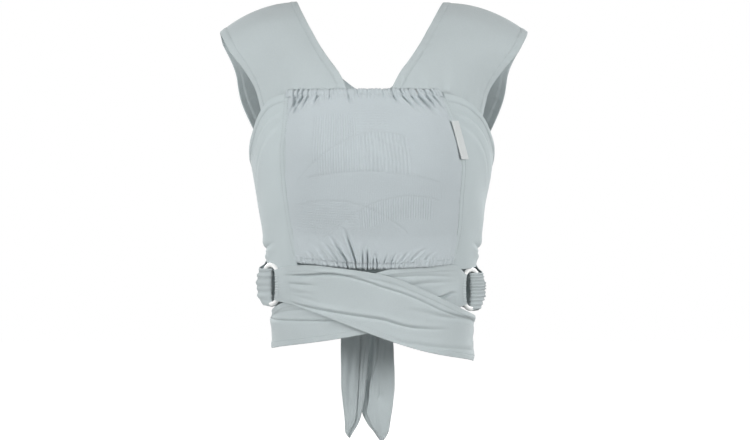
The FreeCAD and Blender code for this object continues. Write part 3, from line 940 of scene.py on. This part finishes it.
def strap(side):
    ring_side = -side
    root = TUCK + ROLL_LENGTH
    _, laid_length = strap_key(side, 0.0)
    length = root + GATHER_LENGTH + laid_length

    def place(u, v):
        run = v * length
        wrapped = ring_wrap(ring_side, -1, run, u)
        drawn = gather_laid(ring_side, u, np.maximum(run, root))
        distance = np.maximum(run - root - GATHER_LENGTH, 0)
        key, _ = strap_key(side, distance)
        laid = strap_laid(side, u, key)
        near_ring = ease((run - root - 3) / 22)[..., None]
        near_strap = ease((run - root - GATHER_LENGTH + 8) / 16)[..., None]
        return (wrapped * (1 - near_ring) + drawn * near_ring) * (1 - near_strap) + laid * near_strap

    def relief(u, v):
        run = v * length
        s = u * STRAP_WIDTH
        edge = np.minimum(s, STRAP_WIDTH - s)
        drawn = ease((root + 110 - run) / 90)
        flat = ease((run - root - 60) / 70)
        ruches = ring_ruches(100 + side, u * 40, run, 1.0, RUCHE_PITCH[ring_side])
        ruches = ruches * ease((root + 56 - run) / 40)
        folds = 2.3 * wander(110 + side, u * 60 + 0.03 * run, 15) * drawn * ease((run - root) / 26)
        ridges = 1.1 * wander(120 + side, u * 122 + 0.02 * run, 34) * ease((run - root - 30) / 60)
        ridges = ridges * ease((root + 330 - run) / 200)
        soft = 0.75 * crumple(130 + side, s, run, 130) * flat
        foot = ease((run - length + 60) / 50)
        pulls = 0.8 * wander(140 + side, s + 0.35 * (length - run), 24) * foot
        return hem(edge, run, 150 + side) * flat + ruches + folds + ridges + soft + pulls

    cloth = Cloth(place, STRAP_WIDTH, length, relief)
    piece = cloth.mesh(f"{SIDES[side]}_strap", JERSEY, 1.3, 1.5)
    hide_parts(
        f"{SIDES[side]}_shoulder_strap", f"{SIDES[side]}_back_strap",
        f"{SIDES[ring_side]}_ring_gather",
    )
    finish_piece(piece, JERSEY_CLOTH)
    v = np.linspace((root + 95) / length, 0.995, 1400)
    inset = (HEM - HEM_ROW) / STRAP_WIDTH
    rows = [stitch_places(cloth, u, v) for u in (inset, 1 - inset)]
    stitches(f"{SIDES[side]}_strap_stitches", rows, THREAD)
    u = np.linspace(0.03, 0.97, 120)
    rows = [stitch_places(cloth, u, (root + run) / length, 2.6) for run in (4.5, 7.0)]
    stitches(f"{SIDES[ring_side]}_gather_stitches", rows, THREAD)
    return piece


# ---- Sashes

def fold_line(points, angle):
    """A fold's height at an angle, from its (x, height) points, and where it runs."""
    x = np.array([p[0] for p in points], float)
    height = np.array([p[1] for p in points], float)
    angles = front_angle(x, height)
    return profile(list(zip(angles, height)), angle), angles[0], angles[-1]


LEFT_FOLDS = [      # (x, height) points, depth, width, fade at the start and end in degrees
    ([(-110, -341.4), (-82.7, -342.7), (-44, -341), (-12, -348), (12, -356.6), (34, -364), (53, -372.6),
      (80, -387), (100, -394), (120, -400)], 1.5, 1.1, 3, 6),
    ([(-111, -341.4), (-83, -342.7), (-44, -341), (-30, -343)], 2.1, 1.0, 5, 14),
    ([(-102, -373), (-86, -377.6), (-67.5, -382), (-44.6, -386.6), (-24, -390), (-5, -393), (14, -396.4),
      (28, -401), (43, -405), (66, -407.5)], 2.2, 1.3, 3, 14),
    ([(-110, -351), (-90, -352.8), (-70, -354)], 1.9, 1.2, 3, 8),
    ([(66, -391), (98, -396), (121, -401)], 1.3, 1.4, 7, 3),
    ([(45, -384), (80, -391), (112, -398)], 0.9, 1.8, 8, 5),
    ([(20, -420), (71, -429), (117, -436)], 0.8, 1.6, 9, 3),
    ([(-106, -361), (-92, -363), (-80, -364)], 0.9, 1.3, 2, 5),
]
RIGHT_FOLDS = [
    ([(-121, -398), (-90, -398.2), (-52, -397.6), (-30, -396)], 1.6, 1.0, 3, 10),
    ([(-120, -396), (-114, -390), (-89, -385), (-70, -384)], 0.9, 1.6, 2, 8),
    ([(72, -371), (80, -369.3), (90, -365), (104, -362)], 4.6, 1.1, 3, 3),
    ([(10, -345), (50, -343), (92, -343.5)], 1.0, 1.4, 8, 6),
    ([(30, -356), (60, -352), (98, -350)], 1.1, 1.6, 9, 4),
    ([(60, -377), (90, -373), (104, -370)], 0.9, 1.5, 6, 4),
]


def folds_at(folds, angle, height):
    total = 0.0 * angle
    for points, depth, width, fade_in, fade_out in folds:
        line, start, end = fold_line(points, angle)
        begun = ease((angle - start + fade_in) / (2 * fade_in))
        left = ease((end + fade_out - angle) / (2 * fade_out))
        total = total + crease(height - line, depth, width) * (begun * left)
    return total


def sash(side, stations, folds, base_lift):
    """side is the ring it starts on. It runs across the front and round to the knot."""
    root = TUCK + ROLL_LENGTH
    sweep = FRONT_WIRE_ANGLE + SASH_KNOT_ANGLE
    length = root + sweep * SASH_DEGREE

    def angle_at(run):
        return side * (FRONT_WIRE_ANGLE - (run - root) / SASH_DEGREE)

    def place(u, v):
        run = u * length
        wrapped = ring_wrap(side, 1, run, v)
        angle = angle_at(np.maximum(run, root))
        top, bottom, lift = profile(stations, angle)
        laid = skin(angle, mix(top, bottom, v), lift + SASH)
        near_ring = ease((run - root - 2) / 14)[..., None]
        return wrapped * (1 - near_ring) + laid * near_ring

    def relief(u, v):
        run = u * length
        angle = angle_at(run)
        top, bottom, _ = profile(stations, angle)
        height = mix(top, bottom, v)
        tall = np.abs(top - bottom)
        off_ring = ease((run - root - 8) / 24)
        ruches = ring_ruches(200 + side, v * 46, run, 0.5, 3.4) * ease((root + 7 - run) / 8)
        fanning = 0.35 * wander(210 + side, v * 52, 9) * ease((root + 60 - run) / 50) * off_ring
        front = folds_at(folds, angle, height) * off_ring
        far = side * angle < 0
        back = ease((np.abs(angle) - 84) / 16) * far
        draws = 1.5 * wander(220 + side, v * 60 + 0.012 * run, 15) * back
        knotted = 1.6 * wander(230 + side, v * 34, 6.5) * ease((np.abs(angle) - 140) / 22) * far
        edge = np.minimum(v * tall, (1 - v) * tall)
        turned = 0.5 * ease((7.5 - edge) / 1.2) - 0.3 * np.exp(-((edge - SASH_HEM) / 0.8) ** 2)
        hip = wander(240 + side, height, 26) * ease((np.abs(angle) - 62) / 22) * far
        soft = 0.55 * crumple(250 + side, run, v * SASH_WIDTH, 70) * off_ring
        return base_lift + ruches + fanning + front + draws + knotted + hip + soft + turned * off_ring

    name = SIDES[side]
    cloth = Cloth(place, length, SASH_WIDTH, relief)
    piece = cloth.mesh(f"{name}_sash", SASH * 0.8, 1.5, 0.62)
    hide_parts(f"{name}_sash_root", f"{name}_sash_front", f"{name}_sash_back")
    finish_piece(piece, JERSEY_CLOTH)
    u = np.linspace((root + 14) / length, 0.93, 1400)
    top, bottom, _ = profile(stations, angle_at(u * length))
    v = SASH_HEM / np.abs(top - bottom)
    rows = [stitch_places(cloth, u, v), stitch_places(cloth, u, 1 - v)]
    stitches(f"{name}_sash_stitches", rows, THREAD)
    v = np.linspace(0.05, 0.95, 90)
    rows = [stitch_places(cloth, (root + 4.5) / length, v, 2.6)]
    stitches(f"{name}_root_stitches", rows, THREAD)
    return piece


# ---- Knot and tails

def loop_band(name, tilt, radii, half_width, half_thick, seed, centre):
    """A closed loop of bunched cloth round the knot. tilt turns it about the Y axis."""
    count = 120
    turns = np.linspace(0, 2 * math.pi, count, endpoint=False)
    lean = math.radians(tilt)
    long_axis = np.array([math.sin(lean), 0.0, math.cos(lean)])
    wide = np.cross(BACKWARDS, long_axis)
    cosine = np.cos(turns)[:, None]
    sine = np.sin(turns)[:, None]
    centres = centre + cosine * radii[0] * long_axis + sine * radii[1] * BACKWARDS
    outwards = unit(cosine / radii[0] * long_axis + sine / radii[1] * BACKWARDS)
    widths = half_width * (1 + 0.22 * np.sin(turns + 0.6))

    def relief(along, turn):
        ridge = wander(seed, np.cos(turn) * 11 + 0.0 * along, 4.2)
        return 0.13 * ridge * np.abs(np.sin(turn)) + 0.03 * np.sin(2 * math.pi * along * 5)

    wide_row = np.repeat(wide[None, :], count, axis=0)
    return tube(name, centres, wide_row, outwards, widths, np.full(count, half_thick), relief, closed=True)


def knot_core(name):
    count = 60
    half_length, half_height, half_depth = 27, 14.5, 9.5
    t = np.linspace(-1, 1, count)
    centres = KNOT + xyz(half_length * t, -1.5 + 2.0 * t ** 2, 1.5 * np.sin(2.2 * t))
    tall = np.repeat(UP[None, :], count, axis=0)
    deep = np.repeat(BACKWARDS[None, :], count, axis=0)
    taper = np.sqrt(np.clip(1 - t ** 2 * 0.9, 0.05, 1))

    def relief(along, turn):
        return 0.12 * wander(321, turn * 6.0, 4.0) * np.sin(math.pi * along) ** 0.5

    return tube(name, centres, tall, deep, half_height * taper, half_depth * taper, relief)


def waist_knot():
    core = knot_core("waist_knot_core")
    upper = loop_band("waist_knot_wrap", -34, (15.5, 10.0), 8.5, 4.2, 305, KNOT + np.array([3.0, 1.0, 1.5]))
    lower = loop_band("waist_knot_turn", 30, (14.0, 8.0), 9.0, 3.8, 311, KNOT + np.array([-5.0, -0.5, -3.0]))
    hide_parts("waist_knot")
    for piece in (core, upper, lower):
        finish_piece(piece, JERSEY_CLOTH)


LEFT_TAIL_EDGES = [     # height, left edge, right edge
    (-556.5, -30.5, -28.5), (-550, -34.8, -24.6), (-538, -35.4, -17.6), (-525, -36.4, -13.3),
    (-507, -38.6, -9.2), (-492, -39.8, -7.6), (-476, -40, -6.0), (-450, -40.2, -3.4),
    (-425, -40.3, -1.4), (-404, -38, -1.2),
]
RIGHT_TAIL_EDGES = [
    (-560.5, 10, 14.5), (-557, 7.0, 17.5), (-549, 1.5, 21.5), (-540, -5.5, 23.2), (-524, -13.0, 25.6),
    (-510, -10.6, 27.4), (-492, -8.1, 29), (-476, -6.5, 29.2), (-450, -3.9, 28.0), (-425, -1.8, 26.6),
    (-404, -1.5, 24),
]
TAIL_TOP = -404
TAIL_WIDTH = 96         # along its folded cloth
TAIL_LENGTH = 156
TAIL_STEPS = 11         # from one edge of the cloth to the other, through its folds
TAIL_SECTION = [        # step along the cloth, share across, depth from the pivot line
    (0, 0.55, 2.9), (1, 0.28, 2.8), (2, 0.06, 2.1), (2.5, 0.00, 0.4), (3, 0.05, -1.6), (4, 0.36, -2.9),
    (5, 0.63, -2.7), (5.4, 0.665, -2.2), (5.8, 0.63, -1.6), (6.4, 0.56, -1.4), (6.8, 0.53, -0.9),
    (7.2, 0.57, -0.4), (8, 0.78, -1.3), (9, 0.95, -0.9), (9.5, 1.00, 0.6), (10, 0.94, 2.0), (11, 0.70, 1.7),
]
INNER_EDGE_DEPTH = {-1: 2.0, 1: 3.2}        # forwards on the left tail, back on the right one
FRONT_FOLD_SPREAD = {-1: 0.0, 1: 0.26}      # how much wider the front fold lies lower down
LEFT_TAIL_CREASES = [   # place across the cloth, lean, start, run, depth, width
    (33, 0.01, 20, 120, 0.5, 1.6), (74, -0.03, 5, 110, 0.45, 0.7),
]
RIGHT_TAIL_CREASES = [
    (63.6, -0.283, 58, 60, 2.6, 2.2), (43, 0.0, 20, 62, 1.7, 2.2), (33, 0.03, 20, 60, 0.5, 2.0),
]


def tail(side, edges, seed, creases):
    low_height = edges[0][0]

    def place(u, v):
        height = mix(TAIL_TOP, low_height, v)
        step = u * TAIL_STEPS
        share, depth = profile(TAIL_SECTION, step)
        lower = ease((-445 - height) / 40) * ease((7.2 - step) / 1.4)
        share = share * (1 + FRONT_FOLD_SPREAD[side] * lower)
        left, right = profile(edges, height)
        turned = share if side < 0 else 1 - share
        narrow = 0.45 + 0.55 * ease((height - low_height) / 26)
        apart = side * INNER_EDGE_DEPTH[side] * ease((share - 0.4) / 0.6)
        sway = 0.5 * np.sin((height + 430) / 22.0)
        depth = depth * narrow * 0.85 + apart + sway
        return xyz(mix(left, right, turned), TAIL_PIVOT_Y + depth, height)

    def relief(u, v):
        t = v * TAIL_LENGTH
        s = u * TAIL_WIDTH
        total = 0.5 * wander(seed, s + 0.05 * t, 13) + 0.3 * crumple(seed + 2, s, t, 40)
        for place_on, lean, start, run, depth, crease_width in creases:
            inside = ease((t - start) / 18) * ease((start + run - t) / 24)
            total = total + crease(s - place_on - lean * t, depth, crease_width, 0.4) * inside
        return total * ease((TAIL_LENGTH - t) / 22)

    name = SIDES[side]
    cloth = Cloth(place, TAIL_WIDTH, TAIL_LENGTH, relief, centre=np.array([-6.0, TAIL_PIVOT_Y, -480.0]))
    piece = cloth.mesh(f"{name}_band_end", 0.85, 0.6, 1.2)
    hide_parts(f"{name}_tail")
    finish_piece(piece, JERSEY_CLOTH, body=None)
    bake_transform(piece)
    return piece


# ---- Rings

def ring(side):
    """A moulded ring with a fine parting line round its outside."""
    around, wire = 160, 40
    axis, rearwards = ring_frame(side)
    turn, section = np.meshgrid(
        np.linspace(0, 2 * math.pi, around, endpoint=False),
        np.linspace(0, 2 * math.pi, wire, endpoint=False), indexing="ij",
    )
    spoke = np.cos(turn)[..., None] * rearwards + np.sin(turn)[..., None] * UP
    parting_line = 0.07 * np.exp(-(np.sin(section) / 0.10) ** 2)
    radius = RING_WIRE - 0.05 + parting_line
    points = (RINGS[side] + (RING_RADIUS + radius * np.cos(section))[..., None] * spoke
              + (radius * np.sin(section))[..., None] * axis)
    index = np.arange(around * wire).reshape(around, wire)
    faces = band_faces(index, closed=True)[:, [0, 3, 2, 1]]
    if side > 0:
        faces = faces[:, ::-1]
    piece = place_in_scene(f"{SIDES[side]}_moulded_ring", points, faces.tolist())
    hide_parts(f"{SIDES[side]}_ring")
    finish_piece(piece, RING_PLASTIC, f"{SIDES[side]}_ring_body")


# ---- Label

def label():
    """A blank tape folded double along its free edge, with its raw edges sewn in the seam."""
    heights = np.array([LABEL_TOP, LABEL_TOP - LABEL_LENGTH])
    angles = front_angle(profile(RIGHT_SEAM, heights), heights) - LABEL_TURN
    roots = skin(angles, heights, LABEL_LIFT)
    across = unit(skin(angles + 5.0, heights, LABEL_LIFT) - roots)[0]
    down = roots[1] - roots[0]
    outwards = unit(np.cross(down, across))
    radius = LABEL_THICKNESS / 2 - 0.02
    straight = LABEL_WIDTH - radius
    run = 2 * straight + math.pi * radius

    def place(u, v):
        along = u * run
        turn = np.clip((along - straight) / radius, 0, math.pi)
        bend = (turn > 0) & (turn < math.pi)
        flat = np.where(along < straight, along, run - along)
        reach = np.where(bend, straight + radius * np.sin(turn), flat)
        height = radius + 0.02 + radius * np.cos(turn)
        return roots[0] + v[..., None] * down + reach[..., None] * across + height[..., None] * outwards

    def relief(u, v):
        return 0.06 * wander(401, v * LABEL_LENGTH, 9)

    middle = roots[0] + down / 2 + across * LABEL_WIDTH / 2 + outwards * LABEL_THICKNESS / 2
    cloth = Cloth(place, run, LABEL_LENGTH, relief, centre=middle)
    piece = cloth.mesh("blank_side_label", 0.28, 0.2, 0.8)
    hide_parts("side_label")
    finish_piece(piece, LABEL_TAPE, "side_label_body")
    v = np.linspace(0.03, 0.97, 80)
    stitches("label_stitches", [stitch_places(cloth, 1.2 / run, v, 2.4)], LABEL_THREAD, "side_label_body")
    return piece


# ---- Patches

def back_patch():
    width, length = 66, 60
    half_angle, top, bottom, lift = 19, -165, -225, 5.4

    def place(u, v):
        return skin(180 + mix(-half_angle, half_angle, u), mix(top, bottom, v), lift + JERSEY)

    def relief(u, v):
        s, t = u * width, v * length
        edge = np.minimum(np.minimum(s, width - s), np.minimum(t, length - t))
        return hem(edge, s + t, 410, PATCH_HEM) + 0.3 * crumple(411, s, t, 30)

    cloth = Cloth(place, width, length, relief)
    piece = cloth.mesh("back_keeper_patch", JERSEY, 0.8, 0.8)
    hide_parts("back_cross_patch")
    finish_piece(piece, JERSEY_CLOTH)
    inset_u = (PATCH_HEM - HEM_ROW) / width
    inset_v = (PATCH_HEM - HEM_ROW) / length
    line_u = np.linspace(inset_u, 1 - inset_u, 120)
    line_v = np.linspace(inset_v, 1 - inset_v, 120)
    rows = [stitch_places(cloth, line_u, v) for v in (inset_v, 1 - inset_v)]
    rows += [stitch_places(cloth, u, line_v) for u in (inset_u, 1 - inset_u)]
    stitches("back_keeper_stitches", rows, THREAD)
    return piece


def finish_hidden_parts():
    """The elastics and anchors keep their frame shapes and get a cloth finish."""
    for name, material in (
        ("top_elastic", ELASTIC), ("bottom_elastic", ELASTIC), ("strap_anchor_patches", JERSEY_CLOTH),
    ):
        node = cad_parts[name]
        for slot in node.material_slots:
            slot.material = material


# ---- Studio

AMBIENT = 0.27
LAMPS = [       # name, place, size, power in watts
    ("key_left", (-2.0, -1.4, 0.10), 0.9, 44.0),
    ("key_right", (2.0, -1.3, 0.05), 0.9, 42.0),
    ("front_high", (-0.9, -2.0, 1.4), 0.8, 10.0),
    ("front_low", (0.0, -2.5, -0.45), 0.9, 2.0),
    ("back_left", (-1.3, 2.2, 0.6), 1.2, 48.0),
    ("back_right", (1.5, 2.0, 0.5), 1.2, 44.0),
]
LAMPS_AIM = (0.0, 0.0, -0.28)
FLOOR_REACH = 6000.0    # millimetres
FLOOR_HEIGHT = -780.0
CAMERA_LENS = 99.84
CAMERA_SENSOR = 36
CAMERA_PLACE = (0.00375, -2.6, -0.275)


def studio():
    ends = ((-1, -1), (1, -1), (1, 1), (-1, 1))
    corners = [(x * FLOOR_REACH, y * FLOOR_REACH, FLOOR_HEIGHT) for x, y in ends]
    floor = place_in_scene("studio_floor", corners, [(0, 1, 2, 3)])
    white = Nodes("studio_white")
    white.feed(white.shader, {
        "Base Color": (0.25, 0.25, 0.25),
        "Roughness": 1.0,
        "Specular IOR Level": 0.0,
        "Emission Color": (1.0, 1.0, 1.0),
        "Emission Strength": 0.95,
    })
    floor.data.materials.append(white.material)
    floor.visible_diffuse = False
    floor.visible_glossy = False

    world = bpy.data.worlds.new("studio")
    world.use_nodes = True
    nodes = world.node_tree.nodes
    background = nodes["Background"]
    background.inputs["Color"].default_value = (1, 1, 1, 1)
    seen = nodes.new("ShaderNodeLightPath")
    strength = nodes.new("ShaderNodeMapRange")
    strength.inputs["To Min"].default_value = AMBIENT
    strength.inputs["To Max"].default_value = 1.0
    world.node_tree.links.new(seen.outputs["Is Camera Ray"], strength.inputs["Value"])
    world.node_tree.links.new(strength.outputs["Result"], background.inputs["Strength"])
    bpy.context.scene.world = world

    for name, place, size, power in LAMPS:
        lamp = bpy.data.lights.new(name, "AREA")
        lamp.size = size
        lamp.energy = power
        holder = bpy.data.objects.new(name, lamp)
        holder.visible_camera = False
        holder.location = place
        holder.rotation_euler = (Vector(LAMPS_AIM) - Vector(place)).to_track_quat("-Z", "Y").to_euler()
        bpy.context.scene.collection.objects.link(holder)

    view = bpy.context.scene.view_settings
    view.view_transform = "Standard"
    view.look = "None"


def camera():
    data = bpy.data.cameras.new("camera")
    data.sensor_width = CAMERA_SENSOR
    data.lens = CAMERA_LENS
    holder = bpy.data.objects.new("camera", data)
    holder.location = CAMERA_PLACE
    holder.rotation_euler = (math.radians(90), 0, 0)
    bpy.context.scene.collection.objects.link(holder)
    bpy.context.scene.camera = holder


# ---- Making

camera()
studio()
panel = pouch_panel()
lining_piece = lining()
top_casing = casing(
    "pouch_top_gathers", "pouch_top_casing", lambda u: POUCH_TOP + 0 * u, 1, 21, TOP_PLEATS
)
bottom_casing = casing(
    "pouch_bottom_gathers", "pouch_bottom_casing", pouch_bottom, -1, 27, BOTTOM_PLEATS
)
SEAMS = {-1: LEFT_SEAM, 1: RIGHT_SEAM}
for side in (-1, 1):
    seam(side, SEAMS[side])
    wing(side, SEAMS[side])
    strap(side)
    ring(side)
sashes = {-1: sash(-1, LEFT_SASH, LEFT_FOLDS, 0.9), 1: sash(1, RIGHT_SASH, RIGHT_FOLDS, 0.0)}
waist_knot()
left_tail = tail(-1, LEFT_TAIL_EDGES, 351, LEFT_TAIL_CREASES)
right_tail = tail(1, RIGHT_TAIL_EDGES, 361, RIGHT_TAIL_CREASES)
side_label = label()
patch = back_patch()
finish_hidden_parts()
